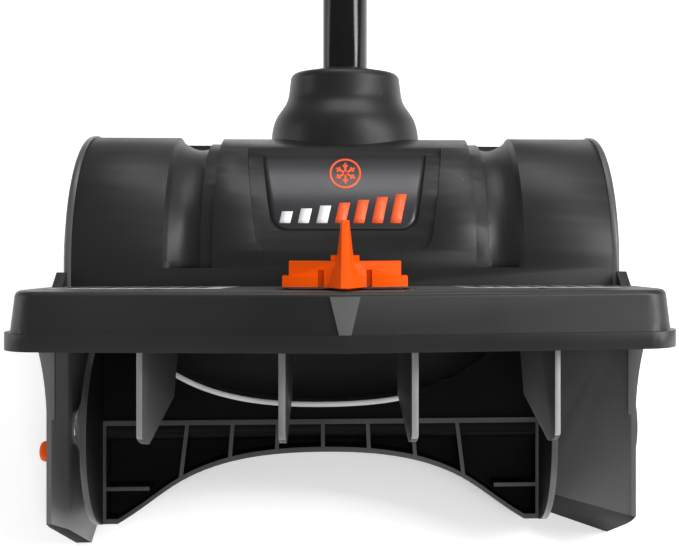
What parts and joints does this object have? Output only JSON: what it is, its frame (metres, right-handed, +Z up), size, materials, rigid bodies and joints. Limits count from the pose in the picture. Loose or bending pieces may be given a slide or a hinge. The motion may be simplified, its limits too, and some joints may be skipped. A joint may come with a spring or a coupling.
{
  "type": "single stage snow thrower",
  "caption": "Battery powered snow shovel: paddle rotor under a motor drum, steering vanes below a hood with a thumb lever, long shaft with tilting front grip and D handle.",
  "frame": {"origin": "on the scraper's ground strip, on the ground, in the plane of the shaft's axis", "axes": "+X right seen from the front, +Y back along the ground, +Z up; the shaft leans back 45 degrees in the YZ plane"},
  "size_m": [0.3174, 0.9902, 0.8816],
  "materials": {
    "charcoal_plastic": "fine texture",
    "black_plastic": "satin",
    "orange_plastic": "satin",
    "black_tube": "gloss",
    "grip_rubber": "matte",
    "bright_steel": "satin",
    "zinc_screw": "satin",
    "belt_rubber": "matte",
    "board_green": "satin",
    "motor_steel": "satin"
  },
  "bodies": {
    "housing": {"left_side_plate": "charcoal_plastic", "right_side_plate": "charcoal_plastic", "front_shell": "charcoal_plastic", "rear_shell": "charcoal_plastic", "rotor_shroud": "black_plastic", "scraper": "black_plastic", "hood": "charcoal_plastic", "rotor_bearings": "bright_steel", "leg_bolt_cap": "orange_plastic", "drive_belt": "belt_rubber", "belt_cover": "charcoal_plastic", "cover_screws": "zinc_screw", "motor": "motor_steel", "motor_bracket": "black_plastic", "motor_bush": "bright_steel", "shaft_socket": "charcoal_plastic", "lower_tube": "black_tube", "upper_tube": "black_tube", "tube_coupler": "black_plastic", "left_handle": "charcoal_plastic", "right_handle": "charcoal_plastic", "handle_screws": "zinc_screw", "grip_overlay": "grip_rubber", "power_switch": "black_plastic", "control_board": "board_green", "shell_screws": "zinc_screw"},
    "rotor": {"rotor": "black_plastic", "rotor_shaft": "bright_steel", "rotor_pulley": "black_plastic"},
    "armature": {"armature": "bright_steel", "motor_pulley": "bright_steel"},
    "vane_1": {"vane_1": "charcoal_plastic"},
    "vane_2": {"vane_2": "charcoal_plastic"},
    "vane_3": {"vane_3": "charcoal_plastic"},
    "vane_4": {"vane_4": "charcoal_plastic"},
    "link": {"vane_link": "black_plastic"},
    "lever": {"direction_lever": "orange_plastic"},
    "coupler_knob": {"coupler_knob": "orange_plastic"},
    "clamp": {"grip_clamp": "black_plastic"},
    "front_grip": {"front_grip": "black_plastic", "front_grip_sleeve": "grip_rubber", "grip_nut": "zinc_screw"},
    "grip_knob": {"grip_knob": "orange_plastic"},
    "trigger": {"trigger": "orange_plastic"},
    "lock_button": {"lock_button": "orange_plastic"},
    "battery": {"battery_pack": "black_plastic", "battery_cells": "bright_steel"},
    "battery_release": {"battery_release": "orange_plastic"}
  },
  "joints": [
    {"name": "rotor_spin", "type": "hinge", "parent": "housing", "child": "rotor", "pos_m": [0, -0.04084, 0.0525], "axis": [1, 0, 0], "continuous": true},
    {"name": "motor_spin", "type": "hinge", "parent": "housing", "child": "armature", "pos_m": [0, 0.05391, 0.08786], "axis": [1, 0, 0], "continuous": true},
    {"name": "lever_turn", "type": "hinge", "parent": "housing", "child": "lever", "pos_m": [0, -0.08468, 0.09634], "axis": [0, 0.7071, 0.7071], "range_deg": [-25, 25]},
    {"name": "vane_1_turn", "type": "hinge", "parent": "housing", "child": "vane_1", "pos_m": [-0.0905, -0.08468, 0.09634], "axis": [0, 0.7071, 0.7071], "range_deg": [-25, 25]},
    {"name": "vane_2_turn", "type": "hinge", "parent": "housing", "child": "vane_2", "pos_m": [-0.0285, -0.08468, 0.09634], "axis": [0, 0.7071, 0.7071], "range_deg": [-25, 25]},
    {"name": "vane_3_turn", "type": "hinge", "parent": "housing", "child": "vane_3", "pos_m": [0.0305, -0.08468, 0.09634], "axis": [0, 0.7071, 0.7071], "range_deg": [-25, 25]},
    {"name": "vane_4_turn", "type": "hinge", "parent": "housing", "child": "vane_4", "pos_m": [0.0955, -0.08468, 0.09634], "axis": [0, 0.7071, 0.7071], "range_deg": [-25, 25]},
    {"name": "link_slide", "type": "slide", "parent": "housing", "child": "link", "axis": [-1, 0, 0], "range_m": [-0.007, 0.007]},
    {"name": "coupler_knob_turn", "type": "hinge", "parent": "housing", "child": "coupler_knob", "pos_m": [0, 0.39757, 0.40605], "axis": [0, 0.7071, -0.7071], "continuous": true},
    {"name": "clamp_slide", "type": "slide", "parent": "housing", "child": "clamp", "axis": [0, 0.7071, 0.7071], "range_m": [-0.06, 0.2]},
    {"name": "front_grip_tilt", "type": "hinge", "parent": "clamp", "child": "front_grip", "pos_m": [0, 0.47747, 0.52414], "axis": [1, 0, 0], "range_deg": [-40, 40]},
    {"name": "grip_knob_turn", "type": "hinge", "parent": "front_grip", "child": "grip_knob", "pos_m": [0, 0.47747, 0.52414], "axis": [1, 0, 0], "continuous": true},
    {"name": "trigger_pull", "type": "hinge", "parent": "housing", "child": "trigger", "pos_m": [0, 0.72072, 0.7292], "axis": [1, 0, 0], "range_deg": [0, 10], "stiffness_Nm_per_rad": 0.4, "springref_deg": -17.19},
    {"name": "lock_press", "type": "slide", "parent": "housing", "child": "lock_button", "axis": [0, 0.7071, -0.7071], "range_m": [0, 0.0025], "stiffness_N_per_m": 800, "springref_m": -0.002},
    {"name": "battery_slide", "type": "slide", "parent": "housing", "child": "battery", "axis": [0, -0.7071, 0.7071], "range_m": [0, 0.09]},
    {"name": "battery_release_press", "type": "slide", "parent": "battery", "child": "battery_release", "axis": [0, 0.7071, -0.7071], "range_m": [0, 0.0025], "stiffness_N_per_m": 800, "springref_m": -0.002}
  ],
  "couplings": [
    {"joint": "motor_spin", "follows": "rotor_spin", "ratio": 2.5},
    {"joint": "vane_1_turn", "follows": "lever_turn", "ratio": 1},
    {"joint": "vane_2_turn", "follows": "lever_turn", "ratio": 1},
    {"joint": "vane_3_turn", "follows": "lever_turn", "ratio": 1},
    {"joint": "vane_4_turn", "follows": "lever_turn", "ratio": 1},
    {"joint": "link_slide", "follows": "lever_turn", "m_per_rad": 0.016}
  ]
}
